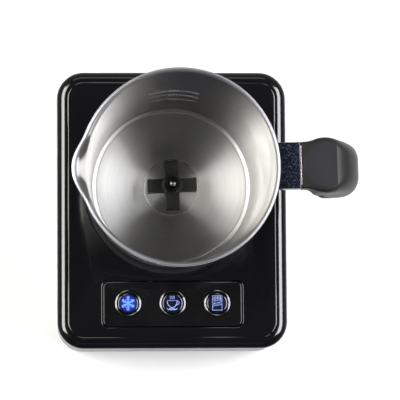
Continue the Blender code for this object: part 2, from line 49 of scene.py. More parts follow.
# places that every piece is worked out from
joints = {joint["name"]: joint for joint in frame["record"]["behaviour"]["joints"]}
axisX, axisY = joints["whisk_spin"]["pos_m"][:2]
coverLow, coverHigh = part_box("top_cover")
baseX = (coverLow.x + coverHigh.x) / 2
jugYaw = math.radians(1.05)
yawAt = Vector((axisX, axisY, 0))


# ---- small tools for modelling
def deselectAll():
    if bpy.context.mode != 'OBJECT':
        bpy.ops.object.mode_set(mode='OBJECT')
    bpy.ops.object.select_all(action='DESELECT')


def pick(piece):
    deselectAll()
    piece.select_set(True)
    bpy.context.view_layer.objects.active = piece


def edit(piece, mode='VERT'):
    pick(piece)
    bpy.ops.object.mode_set(mode='EDIT')
    bpy.ops.mesh.select_mode(type=mode)


def choose(piece, what, test):
    # what is verts, edges or faces; test takes one element
    mesh = bmesh.from_edit_mesh(piece.data)
    for kind in (mesh.verts, mesh.edges, mesh.faces):
        for item in kind:
            item.select = False
    mesh.select_history.clear()
    for item in getattr(mesh, what):
        if test(item):
            item.select_set(True)
    bmesh.update_edit_mesh(piece.data)


def settle(piece):
    # the object's place goes into its mesh
    pick(piece)
    bpy.ops.object.transform_apply(location=True, rotation=True, scale=True)
    return piece


def smooth(piece, angle):
    pick(piece)
    bpy.ops.object.shade_smooth_by_angle(angle=math.radians(angle))


def faceOut(piece):
    edit(piece)
    bpy.ops.mesh.select_all(action='SELECT')
    bpy.ops.mesh.remove_doubles(threshold=0.000002)
    bpy.ops.mesh.normals_make_consistent(inside=False)
    bpy.ops.object.mode_set(mode='OBJECT')


def applyModifiers(piece):
    pick(piece)
    for modifier in list(piece.modifiers):
        bpy.ops.object.modifier_apply(modifier=modifier.name)


def bevelEdges(piece, width, segments, angle):
    modifier = piece.modifiers.new("bevel", 'BEVEL')
    modifier.width = width
    modifier.segments = segments
    modifier.limit_method = 'ANGLE'
    modifier.angle_limit = math.radians(angle)
    applyModifiers(piece)


def carve(piece, tool):
    modifier = piece.modifiers.new("carve", 'BOOLEAN')
    modifier.operation = 'DIFFERENCE'
    modifier.solver = 'EXACT'
    modifier.object = tool
    applyModifiers(piece)
    bpy.data.objects.remove(tool, do_unlink=True)


def merge(name, parts):
    deselectAll()
    for part in parts:
        part.select_set(True)
    bpy.context.view_layer.objects.active = parts[0]
    bpy.ops.object.join()
    parts[0].name = name
    return parts[0]


def box(name, low, high):
    deselectAll()
    middle = [(a + b) / 2 for a, b in zip(low, high)]
    bpy.ops.mesh.primitive_cube_add(size=1, location=middle)
    piece = bpy.context.object
    piece.name = name
    piece.scale = [b - a for a, b in zip(low, high)]
    return settle(piece)


def roundBox(name, low, high, corner, segments):
    piece = box(name, low, high)
    edit(piece, 'EDGE')
    tall = (high[2] - low[2]) * 0.5
    choose(piece, "edges", lambda e: abs(e.verts[0].co.z - e.verts[1].co.z) > tall)
    bpy.ops.mesh.bevel(offset=corner, segments=segments, affect='EDGES')
    bpy.ops.object.mode_set(mode='OBJECT')
    return piece


def insetCap(piece, top, profile):
    # profile holds (inwards, height) points that start at the cap's own edge
    edit(piece, 'FACE')
    heights = [v.co.z for v in piece.data.vertices]
    level = max(heights) if top else min(heights)
    choose(piece, "faces", lambda f: all(abs(v.co.z - level) < 1e-6 for v in f.verts))
    sign = 1 if top else -1
    for (x0, z0), (x1, z1) in zip(profile, profile[1:]):
        bpy.ops.mesh.inset(thickness=max(x1 - x0, 0.0), depth=sign * (z1 - z0), use_even_offset=True)
    bpy.ops.object.mode_set(mode='OBJECT')


def turned(name, profile, middle, sides, ring=False):
    # profile holds (radius, height) points; ring closes it on itself, else both ends get a flat cap
    deselectAll()
    cx, cy = middle
    radius, height = profile[0]
    bpy.ops.mesh.primitive_circle_add(vertices=sides, radius=radius, fill_type='NOTHING',
                                      location=(cx, cy, height))
    piece = bpy.context.object
    piece.name = name
    settle(piece)
    edit(piece, 'EDGE')
    bpy.ops.mesh.select_all(action='SELECT')
    if not ring:
        bpy.ops.mesh.edge_face_add()
    for nextRadius, nextHeight in profile[1:]:
        extrude = bpy.ops.mesh.extrude_edges_move if ring else bpy.ops.mesh.extrude_region_move
        extrude(TRANSFORM_OT_translate={"value": (0, 0, nextHeight - height)})
        share = nextRadius / radius
        bpy.ops.transform.resize(value=(share, share, 1), center_override=(cx, cy, nextHeight))
        radius, height = nextRadius, nextHeight
    bpy.ops.object.mode_set(mode='OBJECT')
    if ring:
        closeRing(piece)
    faceOut(piece)
    return piece


def closeRing(piece):
    # joins the first loop and the last
    edit(piece, 'EDGE')
    choose(piece, "edges", lambda e: len(e.link_faces) == 1)
    bpy.ops.mesh.bridge_edge_loops()
    bpy.ops.object.mode_set(mode='OBJECT')


def arc(cx, cz, radius, start, end, count):
    angles = [math.radians(start + (end - start) * i / count) for i in range(count + 1)]
    return [(cx + radius * math.cos(a), cz + radius * math.sin(a)) for a in angles]


def turnWithJug(piece):
    # the jug stands a little turned on its base
    piece.location = yawAt
    piece.rotation_euler = (0, 0, jugYaw)
    return settle(piece)


# ---- small tools for materials
def hexColour(code):
    parts = [int(code[i:i + 2], 16) / 255 for i in (1, 3, 5)]
    linear = [c / 12.92 if c <= 0.04045 else ((c + 0.055) / 1.055) ** 2.4 for c in parts]
    return (*linear, 1)


def addNode(tree, kind, inputs=None, **settings):
    new = tree.nodes.new(kind)
    for key, value in settings.items():
        setattr(new, key, value)
    for key, value in (inputs or {}).items():
        if isinstance(value, bpy.types.NodeSocket):
            tree.links.new(value, new.inputs[key])
        else:
            new.inputs[key].default_value = value
    return new


def newMaterial(name, **sockets):
    mat = bpy.data.materials.new(name)
    mat.use_nodes = True
    tree = mat.node_tree
    shader = tree.nodes["Principled BSDF"]
    for key, value in sockets.items():
        shader.inputs[key.replace("_", " ")].default_value = value
    place = addNode(tree, "ShaderNodeTexCoord").outputs["Object"]
    return mat, tree, shader, place


def ramp(tree, factor, stops):
    new = addNode(tree, "ShaderNodeValToRGB", {"Fac": factor})
    elements = new.color_ramp.elements
    while len(elements) < len(stops):
        elements.new(0.5)
    for element, (at, colour) in zip(elements, stops):
        element.position = at
        element.color = colour
    return new.outputs["Color"]


def dress(piece, mat):
    piece.data.materials.clear()
    piece.data.materials.append(mat)
    for face in piece.data.polygons:
        face.material_index = 0


def shade(colour, share):
    return tuple(min(1, c * share) for c in colour[:3]) + (1,)


def mouldedPlastic(name, colour, roughness, grain, depth, ior=1.5):
    # injection-moulded plastic: even colour, faint cloudiness, and a fine grain in mm
    mat, tree, shader, place = newMaterial(name, IOR=ior)
    cloud = addNode(tree, "ShaderNodeTexNoise", {"Vector": place, "Scale": 55.0, "Detail": 3.0})
    grainNoise = addNode(tree, "ShaderNodeTexNoise", {"Vector": place, "Scale": 1000 / grain, "Detail": 2.0})
    dark, light = shade(colour, 0.82), shade(colour, 1.22)
    tint = ramp(tree, cloud.outputs["Fac"], [(0.35, dark), (0.65, light)])
    rough = addNode(tree, "ShaderNodeMapRange", {"Value": grainNoise.outputs["Fac"],
                                                 "To Min": roughness * 0.85, "To Max": roughness * 1.15})
    bump = addNode(tree, "ShaderNodeBump", {"Height": grainNoise.outputs["Fac"], "Strength": depth,
                                            "Distance": 0.0002})
    tree.links.new(tint, shader.inputs["Base Color"])
    tree.links.new(rough.outputs["Result"], shader.inputs["Roughness"])
    tree.links.new(bump.outputs["Normal"], shader.inputs["Normal"])
    return mat


def glossAbs(name):
    # high-gloss black ABS: deep black, mirror-like, with a hint of navy and the faintest orange peel
    mat, tree, shader, place = newMaterial(name, IOR=1.5)
    cloud = addNode(tree, "ShaderNodeTexNoise", {"Vector": place, "Scale": 30.0, "Detail": 2.0})
    dust = addNode(tree, "ShaderNodeTexNoise", {"Vector": place, "Scale": 900.0, "Detail": 3.0})
    peel = addNode(tree, "ShaderNodeTexNoise", {"Vector": place, "Scale": 160.0, "Detail": 1.0})
    tint = ramp(tree, cloud.outputs["Fac"], [(0.3, hexColour("#070709")), (0.7, hexColour("#0a0a0c"))])
    rough = addNode(tree, "ShaderNodeMapRange", {"Value": dust.outputs["Fac"], "From Min": 0.35,
                                                 "From Max": 0.75, "To Min": 0.09, "To Max": 0.15})
    bump = addNode(tree, "ShaderNodeBump", {"Height": peel.outputs["Fac"], "Strength": 0.02,
                                            "Distance": 0.0003})
    tree.links.new(tint, shader.inputs["Base Color"])
    tree.links.new(rough.outputs["Result"], shader.inputs["Roughness"])
    tree.links.new(bump.outputs["Normal"], shader.inputs["Normal"])
    return mat


def fleckedAbs(name):
    # black ABS with fine blue-grey specks under the gloss, about 0.8 mm across so that they show
    mat, tree, shader, place = newMaterial(name, IOR=1.5, Roughness=0.14)
    fleck = addNode(tree, "ShaderNodeTexNoise", {"Vector": place, "Scale": 1200.0, "Detail": 2.0})
    cloud = addNode(tree, "ShaderNodeTexNoise", {"Vector": place, "Scale": 900.0, "Detail": 3.0})
    mixed = addNode(tree, "ShaderNodeMath", {0: fleck.outputs["Fac"], 1: cloud.outputs["Fac"]},
                    operation='MULTIPLY')
    tint = ramp(tree, mixed.outputs[0], [(0.18, hexColour("#07070a")), (0.28, hexColour("#11141d")),
                                         (0.40, hexColour("#2c3344"))])
    tree.links.new(tint, shader.inputs["Base Color"])
    return mat


def spunSteel(name, roughness, stretch, colours, depth=0.12):
    # spun and brushed stainless steel: fine rings round the jug's axis stretch every highlight outwards
    mat, tree, shader, place = newMaterial(name, Metallic=1.0, Anisotropic=stretch)
    shift = addNode(tree, "ShaderNodeVectorMath", {0: place, 1: (axisX, axisY, 0)},
                    operation='SUBTRACT').outputs[0]
    flat = addNode(tree, "ShaderNodeVectorMath", {0: shift, 1: (1, 1, 0)},
                   operation='MULTIPLY').outputs[0]
    along = addNode(tree, "ShaderNodeVectorMath", {0: flat}, operation='NORMALIZE').outputs[0]
    distance = addNode(tree, "ShaderNodeVectorMath", {0: flat}, operation='LENGTH').outputs["Value"]
    parts = addNode(tree, "ShaderNodeSeparateXYZ", {"Vector": shift}).outputs
    # lines lie about 0.25 mm apart, coarser than the real grit, so that they show
    lines = addNode(tree, "ShaderNodeCombineXYZ", {"X": distance, "Y": 0.0, "Z": parts["Z"]}).outputs[0]
    fine = addNode(tree, "ShaderNodeTexNoise", {"Vector": lines, "Scale": 4000.0, "Detail": 3.0})
    bands = addNode(tree, "ShaderNodeTexNoise", {"Vector": lines, "Scale": 420.0, "Detail": 2.0})
    cloud = addNode(tree, "ShaderNodeTexNoise", {"Vector": place, "Scale": 45.0, "Detail": 3.0})
    weak = addNode(tree, "ShaderNodeMath", {0: bands.outputs["Fac"], 1: 0.3},
                   operation='MULTIPLY').outputs[0]
    mixed = addNode(tree, "ShaderNodeMath", {0: fine.outputs["Fac"], 1: weak}, operation='ADD').outputs[0]
    tint = ramp(tree, mixed, [(0.45, hexColour(colours[0])), (0.85, hexColour(colours[1]))])
    rough = addNode(tree, "ShaderNodeMapRange", {"Value": cloud.outputs["Fac"], "From Min": 0.3,
                                                 "From Max": 0.7, "To Min": roughness * 0.88,
                                                 "To Max": roughness * 1.14})
    bump = addNode(tree, "ShaderNodeBump", {"Height": fine.outputs["Fac"], "Strength": depth,
                                            "Distance": 0.00003})
    tree.links.new(tint, shader.inputs["Base Color"])
    tree.links.new(rough.outputs["Result"], shader.inputs["Roughness"])
    tree.links.new(bump.outputs["Normal"], shader.inputs["Normal"])
    tree.links.new(along, shader.inputs["Tangent"])
    return mat


def plainMetal(name, colour, roughness, scale=300.0):
    # plated or drawn metal with faint scratches and blotches
    mat, tree, shader, place = newMaterial(name, Metallic=1.0)
    blotch = addNode(tree, "ShaderNodeTexNoise", {"Vector": place, "Scale": scale, "Detail": 4.0})
    tint = ramp(tree, blotch.outputs["Fac"], [(0.3, shade(colour, 0.86)), (0.7, colour)])
    rough = addNode(tree, "ShaderNodeMapRange", {"Value": blotch.outputs["Fac"],
                                                 "To Min": roughness * 0.7, "To Max": roughness * 1.3})
    tree.links.new(tint, shader.inputs["Base Color"])
    tree.links.new(rough.outputs["Result"], shader.inputs["Roughness"])
    return mat


def satinSilver(name):
    # silver-grey lacquer with a fine metal flake: mostly matt, so that it stays grey at a glancing angle
    mat, tree, shader, place = newMaterial(name, Metallic=0.3, IOR=1.3, Roughness=0.58)
    flake = addNode(tree, "ShaderNodeTexVoronoi", {"Vector": place, "Scale": 2600.0})
    cloud = addNode(tree, "ShaderNodeTexNoise", {"Vector": place, "Scale": 40.0, "Detail": 2.0})
    mixed = addNode(tree, "ShaderNodeMath", {0: flake.outputs["Distance"], 1: cloud.outputs["Fac"]},
                    operation='ADD')
    tint = ramp(tree, mixed.outputs[0], [(0.4, hexColour("#7b7c7f")), (1.0, hexColour("#98999c"))])
    bump = addNode(tree, "ShaderNodeBump", {"Height": flake.outputs["Distance"], "Strength": 0.05,
                                            "Distance": 0.0001})
    tree.links.new(tint, shader.inputs["Base Color"])
    tree.links.new(bump.outputs["Normal"], shader.inputs["Normal"])
    return mat


def glowingInk(name, colour, strength):
    # printed symbol lit from behind: a pale core that varies a little over the mark
    mat, tree, shader, place = newMaterial(name, Roughness=0.4, Emission_Strength=strength)
    vary = addNode(tree, "ShaderNodeTexNoise", {"Vector": place, "Scale": 500.0, "Detail": 1.0})
    tint = ramp(tree, vary.outputs["Fac"], [(0.3, shade(colour, 0.75)), (0.7, colour)])
    tree.links.new(tint, shader.inputs["Base Color"])
    tree.links.new(tint, shader.inputs["Emission Color"])
    return mat


print("making materials")
gloss = glossAbs("highGlossBlackAbs")
fleckGloss = fleckedAbs("fleckedGlossAbs")
panelBlack = mouldedPlastic("panelBlackPlastic", hexColour("#09090a"), 0.12, 0.3, 0.01)
seatBlack = mouldedPlastic("heatProofBlackPlastic", hexColour("#121214"), 0.3, 0.3, 0.03)
softTouch = mouldedPlastic("softTouchLacquer", hexColour("#0e0c0a"), 0.45, 0.25, 0.10, 1.32)
# the pad's faint navy tint is a painted reflection of the overhead on the flat top of the handle
padRubberBlueReflection = mouldedPlastic("softTouchPad", hexColour("#0c0c12"), 0.5, 0.25, 0.08, 1.34)
whiskGrey = mouldedPlastic("whiskNylon", hexColour("#3b3b37"), 0.42, 0.4, 0.05)
switchBlack = mouldedPlastic("switchBlackPlastic", hexColour("#1a1a1a"), 0.5, 0.4, 0.1)
innerPlastic = mouldedPlastic("innerNylon", hexColour("#a8a59a"), 0.5, 0.4, 0.1)
rubber = mouldedPlastic("footRubber", hexColour("#1c1c1c"), 0.75, 0.5, 0.2)
circuit = mouldedPlastic("circuitLaminate", hexColour("#1f5a34"), 0.4, 0.6, 0.1)
ferrite = mouldedPlastic("sinteredFerrite", hexColour("#2e2e30"), 0.6, 0.3, 0.2)
lensNavy = mouldedPlastic("buttonLens", hexColour("#070a24"), 0.2, 0.3, 0.01)
lensBlue = mouldedPlastic("litButtonLens", hexColour("#101d66"), 0.2, 0.3, 0.01)
chrome = plainMetal("platedChrome", hexColour("#d8d8da"), 0.07)
trimSteel = plainMetal("satinTrimSteel", hexColour("#bdbdc1"), 0.2, 40.0)
darkChrome = plainMetal("darkChrome", hexColour("#77777c"), 0.16)
zinc = plainMetal("zincPlatedSteel", hexColour("#b5b5ae"), 0.3)
aluminium = plainMetal("plainAluminium", hexColour("#c4c5c7"), 0.35)
copper = plainMetal("enamelledCopper", hexColour("#b5653a"), 0.3, 600.0)
silver = satinSilver("satinSilverLacquer")
steelInside = spunSteel("spunStainlessSteel", 0.43, 1.0, ("#9d9c9a", "#b4b3b1"))
# painted light: the floor's steel is a far paler copy of the wall steel, standing in for the light that falls
# on the jug's floor
steelFloorPaintedLight = spunSteel("spunSteelFloor", 0.39, 1.0, ("#efeeec", "#fcfbfa"))
steelOutside = spunSteel("spunSteelOutside", 0.20, 0.8, ("#949391", "#adacaa"), 0.05)
steelRim = spunSteel("satinSteelRim", 0.45, 0.35, ("#8f8f93", "#a6a6aa"), 0.03)
etchedSteel = mouldedPlastic("etchedSteel", hexColour("#d9d7d0"), 0.6, 0.3, 0.1)
steelFold = plainMetal("polishedSteelFold", hexColour("#e6e4de"), 0.5)
coldInk = glowingInk("coldBlueInk", hexColour("#5c8cff"), 0.75)
hotInk = glowingInk("paleBlueInk", hexColour("#93a6dc"), 0.3)


# ---- base
base = {
    "corner": 0.017,
    "edgeIn": 0.0066,       # how far the rounded edge reaches in
    "edgeTilt": math.radians(50),
    "deck": 0.0580,
    "groove": 0.00011,      # depth of the fine line round the deck
    "seamGap": 0.0003,      # between the cover and the silver wall
    "wall": 0.0022,
    "sideBack": 0.0006,     # the silver wall stands this far inside the cover
    "sideTop": 0.0520,
    "foot": 0.0020,
    "seatHole": 0.0556,
    "screws": (0.060, 0.075),
    "screwPocket": 0.0040,
}
airSlots = {"count": 5, "x": -0.037, "y": 0.047, "pitch": 0.0065, "halfLong": 0.014, "halfWide": 0.0015}


def makeTopCover():
    # a rounded edge, a fine groove, then the flat deck with openings for the seat and the panel
    edge, groove, deck, tilt = base["edgeIn"], base["groove"], base["deck"], base["edgeTilt"]
    radius = edge / math.sin(tilt)
    edgeLow = deck - radius * (1 - math.cos(tilt))
    low = (coverLow.x, coverLow.y, base["sideTop"] + base["seamGap"])
    ease, steps = 0.00012, 16
    cover = roundBox("topCover", low, (coverHigh.x, coverHigh.y, edgeLow - 0.0003), base["corner"], 20)
    curve = [(0, edgeLow - 0.0003), (0.00005, edgeLow - 0.0001)]
    for i in range(steps + 1):
        turn = tilt * (1 - i / steps)
        curve.append((edge - radius * math.sin(turn) + ease, deck - radius * (1 - math.cos(turn))))
    for across, drop in ((0.00012, 0.25), (0.00024, 0.8), (0.00032, 1.0), (0.00040, 0.8),
                         (0.00052, 0.25), (0.00064, 0.0)):
        curve.append((edge + ease + across, deck - groove * drop))
    insetCap(cover, True, curve)
    inner, hole = base["wall"], base["seatHole"]
    insetCap(cover, False, [(0, low[2]), (inner, low[2]), (inner, deck - 0.002)])
    carve(cover, turned("seatTool", [(hole, deck - 0.008), (hole, deck + 0.008)], (axisX, axisY), 128))
    carve(cover, panelTool())
    smooth(cover, 35)
    dress(cover, gloss)
    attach(cover, "base")
    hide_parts("top_cover")


def panelTool():
    # the opening's edge flares out, so that it catches the light like the insert's own edge
    gap, soft, deck = panel["gap"], panel["soft"], base["deck"]
    halfX, halfY = panel["width"] / 2 + gap, panel["depth"] / 2 + gap
    tool = roundBox("panelTool", (baseX - halfX, panel["y"] - halfY, 0.050),
                    (baseX + halfX, panel["y"] + halfY, deck - soft), panel["corner"] + gap, 8)
    curve = [(-soft * (1 - math.cos(a)), deck - soft + soft * math.sin(a)) for a in quarterTurn]
    edit(tool, 'FACE')
    choose(tool, "faces", lambda f: f.normal.z > 0.9)
    for (x0, z0), (x1, z1) in zip(curve, curve[1:]):
        bpy.ops.mesh.extrude_region_move(TRANSFORM_OT_translate={"value": (0, 0, z1 - z0)})
        bpy.ops.transform.resize(value=((halfX - x1) / (halfX - x0), (halfY - x1) / (halfY - x0), 1),
                                 center_override=(baseX, panel["y"], z1))
    bpy.ops.mesh.extrude_region_move(TRANSFORM_OT_translate={"value": (0, 0, 0.004)})
    bpy.ops.object.mode_set(mode='OBJECT')
    return tool


def makeHousing():
    # an open tray with air slots under the fan, screw pockets below and a hole for the cord's gland
    low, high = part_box("bottom_housing")
    housing = roundBox("housingSide", (low.x, low.y, base["foot"] + 0.0016),
                       (high.x, high.y, base["sideTop"] - 0.0008), base["corner"] - base["sideBack"], 20)
    top, bottom = base["sideTop"], base["foot"]
    insetCap(housing, True, [(0, top - 0.0008), (0.0003, top - 0.0003), (0.0009, top), (0.0022, top),
                             (0.0022, bottom + 0.0025)])
    insetCap(housing, False, [(0, bottom + 0.0016), (0.0004, bottom + 0.0006), (0.0012, bottom)])
    x, long, wide = baseX + airSlots["x"], airSlots["halfLong"], airSlots["halfWide"]
    for i in range(airSlots["count"]):
        y = airSlots["y"] + (i - airSlots["count"] // 2) * airSlots["pitch"]
        carve(housing, roundBox("slotTool", (x - long, y - wide, -0.002), (x + long, y + wide, 0.008),
                                0.0014, 4))
    pocket = base["screwPocket"]
    for sx in (-1, 1):
        for sy in (-1, 1):
            spot = (baseX + sx * base["screws"][0], sy * base["screws"][1])
            carve(housing, turned("pocketTool", [(pocket, -0.002), (pocket, 0.0060)], spot, 32))
    glandLow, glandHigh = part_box("cord_gland")
    flange = 0.0014
    carve(housing, box("glandTool", (glandLow.x + flange, high.y - 0.006, glandLow.z + flange),
                       (glandHigh.x - flange, high.y + 0.006, glandHigh.z - flange)))
    smooth(housing, 35)
    dress(housing, silver)
    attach(housing, "base")
    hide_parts("bottom_housing")


panel = {"width": 0.0884, "depth": 0.0286, "y": -0.0604, "corner": 0.0036, "top": 0.0581, "low": 0.0555,
         "gap": 0.0005, "soft": 0.0007, "hole": 0.0088}
quarterTurn = [math.radians(15 * i) for i in range(7)]


def makePanel():
    low = (baseX - panel["width"] / 2, panel["y"] - panel["depth"] / 2, panel["low"])
    top, soft, hole = panel["top"], panel["soft"], panel["hole"]
    high = (baseX + panel["width"] / 2, panel["y"] + panel["depth"] / 2, top - soft)
    insert = roundBox("controlPanel", low, high, panel["corner"], 8)
    insetCap(insert, True, [(soft * (1 - math.cos(a)), top - soft + soft * math.sin(a)) for a in quarterTurn])
    for i in range(3):
        spot = (baseX + (i - 1) * button["pitch"], button["y"])
        carve(insert, turned("holeTool", [(hole, 0.050), (hole, 0.060)], spot, 72))
    smooth(insert, 35)
    dress(insert, panelBlack)
    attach(insert, "base")
    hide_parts("control_panel")


button = {"pitch": 0.0284, "y": -0.0600, "top": 0.0587, "ringOut": 0.0085, "ringIn": 0.0071,
          "ringLow": 0.0557, "ringTop": 0.0581, "lens": 0.0052, "inkHeight": 0.00014}


def stroke(points, width):
    # a slightly raised line of ink, from points in mm on the button's face
    curve = bpy.data.curves.new("ink", 'CURVE')
    curve.dimensions = '3D'
    curve.bevel_depth = width / 2000
    curve.bevel_resolution = 2
    curve.use_fill_caps = True
    spline = curve.splines.new('POLY')
    closed = points[0] == points[-1]
    if closed:
        points = points[:-1]
    spline.points.add(len(points) - 1)
    for point, (x, y) in zip(spline.points, points):
        point.co = (x / 1000, y / 1000, 0, 1)
    spline.use_cyclic_u = closed
    line = bpy.data.objects.new("ink", curve)
    scene.collection.objects.link(line)
    pick(line)
    bpy.ops.object.convert(target='MESH')
    line = bpy.context.object
    line.scale.z = button["inkHeight"] * 1000 / width
    return settle(line)


def drawSnowflake():
    lines = []
    for i in range(6):
        a = math.radians(60 * i + 30)
        along, across = Vector((math.cos(a), math.sin(a))), Vector((-math.sin(a), math.cos(a)))
        lines.append(stroke([(0, 0), tuple(along * 4.6)], 0.42))
        for reach, length in ((2.0, 1.5), (3.3, 1.2)):
            for side in (-1, 1):
                foot = along * reach
                tip = foot + along * length * 0.6 + across * side * length * 0.8
                lines.append(stroke([tuple(foot), tuple(tip)], 0.34))
    hexagon = arc(0, 0, 1.5, 0, 300, 5)
    lines.append(stroke(hexagon + hexagon[:1], 0.4))
    return lines


def drawCup():
    cup = [(-3.5, 1.7), (-3.35, 0.3), (-2.8, -1.1), (-1.9, -2.1), (-1.5, -2.6), (0.9, -2.6),
           (1.4, -2.1), (2.2, -1.1), (2.7, 0.3), (2.8, 1.7), (-3.5, 1.7)]
    ear = [(2.7, 1.3), (3.7, 1.25), (4.2, 0.5), (3.9, -0.5), (3.1, -1.0), (2.2, -1.1)]
    saucer = [(-3.6, -3.4), (-2.6, -4.1), (1.9, -4.1), (2.9, -3.4)]
    lines = [stroke(cup, 0.3), stroke(ear, 0.28), stroke(saucer, 0.36),
             stroke([(-2.2, -3.4), (1.5, -3.4)], 0.28)]
    for x in (-1.7, -0.5, 0.7):
        lines.append(stroke([(x, 2.6), (x + 0.4, 3.3), (x - 0.1, 4.0), (x + 0.3, 4.8)], 0.24))
    return lines


def drawChocolate():
    lines = [stroke([(-3.0, 4.7), (3.0, 4.7), (3.0, 0.9), (-3.0, -0.3), (-3.0, 4.7)], 0.28)]
    for y in (3.7, 2.8, 1.9):
        lines.append(stroke([(-2.9, y), (2.9, y)], 0.18))
    for x in (-1.9, -0.9, 0.1, 1.1, 2.1):
        lines.append(stroke([(x, 4.6), (x, 1.1 + 0.2 * x)], 0.16))
    lines.append(stroke([(-3.0, -1.1), (-1.7, -0.4), (-0.4, -0.9), (1.0, 0.1), (3.0, 0.0), (3.0, -4.5),
                         (-3.0, -4.5), (-3.0, -1.1)], 0.3))
    lines.append(stroke([(-3.0, -2.0), (-1.2, -1.6), (3.0, -0.9)], 0.26))
    return lines


def makeButtons():
    drawings = {"cold": (drawSnowflake, coldInk, lensBlue), "hot": (drawCup, hotInk, lensNavy),
                "chocolate": (drawChocolate, hotInk, lensNavy)}
    outer, inner, low = button["ringOut"], button["ringIn"], button["ringLow"]
    top, lens = button["top"], button["lens"]
    crown = arc((outer + inner) / 2, button["ringTop"], (outer - inner) / 2, 0, 180, 12)
    face = [(0.0016, 0.0536), (0.0016, 0.0566), (0.0068, 0.0566), (0.0068, top - 0.0010),
            (0.0066, top - 0.0006), (0.0062, top - 0.0003), (0.0056, top - 0.0002), (lens, top - 0.00018),
            (lens, top - 0.00012), (0.0034, top - 0.00004), (0.0012, top)]
    for i, (word, (draw, ink, glass)) in enumerate(drawings.items()):
        spot = (baseX + (i - 1) * button["pitch"], button["y"])
        ring = turned("buttonRing_" + word, [(outer, low)] + crown + [(inner, low)], spot, 72, ring=True)
        smooth(ring, 50)
        dress(ring, darkChrome)
        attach(ring, "base")
        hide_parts("button_ring_" + word)
        cap = turned("buttonCap_" + word, face, spot, 64)
        smooth(cap, 40)
        dress(cap, panelBlack)
        cap.data.materials.append(glass)
        for side in cap.data.polygons:
            x, y, z = side.center
            if z > top - 0.00019 and math.hypot(x - spot[0], y - spot[1]) < lens:
                side.material_index = 1
        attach(cap, "button_" + word)
        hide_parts("button_cap_" + word)
        symbol = merge("buttonSymbol_" + word, draw())
        symbol.location = (spot[0], spot[1], top - 0.00004)
        settle(symbol)
        smooth(symbol, 60)
        dress(symbol, ink)
        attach(symbol, "button_" + word)


seatPlate = {"low": 0.0539, "top": 0.0572, "ledge": 0.0557, "radius": 0.0550, "ledgeRadius": 0.0572,
             "sensorHole": 0.0030}


def makeSeat():
    # from the sensor's hole outwards: a fine ring line, a low ring that centres the jug, and the ledge below
    low, top, ledge = seatPlate["low"], seatPlate["top"], seatPlate["ledge"]
    outer, wide, hole = seatPlate["radius"], seatPlate["ledgeRadius"], seatPlate["sensorHole"]
    profile = [(hole, low), (hole, top - 0.0002), (0.0032, top), (0.0200, top), (0.0202, top - 0.0002),
               (0.0206, top - 0.0002), (0.0208, top), (0.0512, top), (0.0515, top + 0.0004),
               (0.0521, top + 0.0004), (0.0524, top), (0.0545, top), (outer, top - 0.0005), (outer, ledge),
               (wide, ledge), (wide, low)]
    seat = turned("seatPlate", profile, (axisX, axisY), 128, ring=True)
    smooth(seat, 35)
    dress(seat, seatBlack)
    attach(seat, "base")
    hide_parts("seat_plate")


# ---- jug
jug = {
    "floor": 0.0660, "rim": 0.1880, "floorRadius": 0.0504, "mouthRadius": 0.0570, "steel": 0.0010,
    "corner": 0.0018, "discRadius": 0.0178, "discRise": 0.0006,
    "fineFrom": 0.1550,     # the loops of the wall lie closer above this
    "lipStart": 0.1846,     # the wall turns outwards here
}
spout = {
    "reach": 0.0044, "half": math.radians(17), "round": math.radians(3),    # the narrow lip
    "flare": 0.0012, "flareHalf": math.radians(52),                         # the wide flare under it
    "fold": 0.010, "foldHalf": math.radians(50), "foldLeast": 0.004, "soft": 0.14,
}
sole = {"radius": 0.0506, "low": 0.0575, "hole": 0.0100}

# section of the lip as (outwards from the wall, height below the top), from inside to outside
lipSection = [(0.00010, 0.0028), (0.00025, 0.0021), (0.00050, 0.0014), (0.00088, 0.0007), (0.00135, 0.0002),
              (0.00180, 0.0), (0.00225, 0.0002), (0.00255, 0.0007), (0.00262, 0.0012), (0.00245, 0.0017),
              (0.00205, 0.0020), (0.00165, 0.0021), (0.00130, 0.0025), (0.00115, 0.0032)]


def jugInner(z):
    share = (z - jug["floor"]) / (jug["rim"] - jug["floor"])
    return jug["floorRadius"] + share * (jug["mouthRadius"] - jug["floorRadius"])


def eased(share):
    return share * share * (3 - 2 * share)


def spoutShift(angle, z):
    # a narrow lip on a wide flare, pressed out from a fold that is lowest in its middle
    turn = math.hypot(angle, spout["round"]) - spout["round"]
    lip = max(0.0, 1 - turn / spout["half"])
    lip = eased(lip) * 0.75 + lip * 0.25
    flare = eased(max(0.0, 1 - turn / spout["flareHalf"]))
    depth = spout["fold"] * max(0.0, 1 - (turn / spout["foldHalf"]) ** 1.6) + spout["foldLeast"]
    rise = 1 - (jug["rim"] - z) / depth
    soft = spout["soft"]
    rise = 0.5 * (rise + math.sqrt(rise * rise + soft * soft)) if rise > -4 * soft else 0.0
    return (lip * spout["reach"] + flare * spout["flare"]) * min(rise, 1.0)


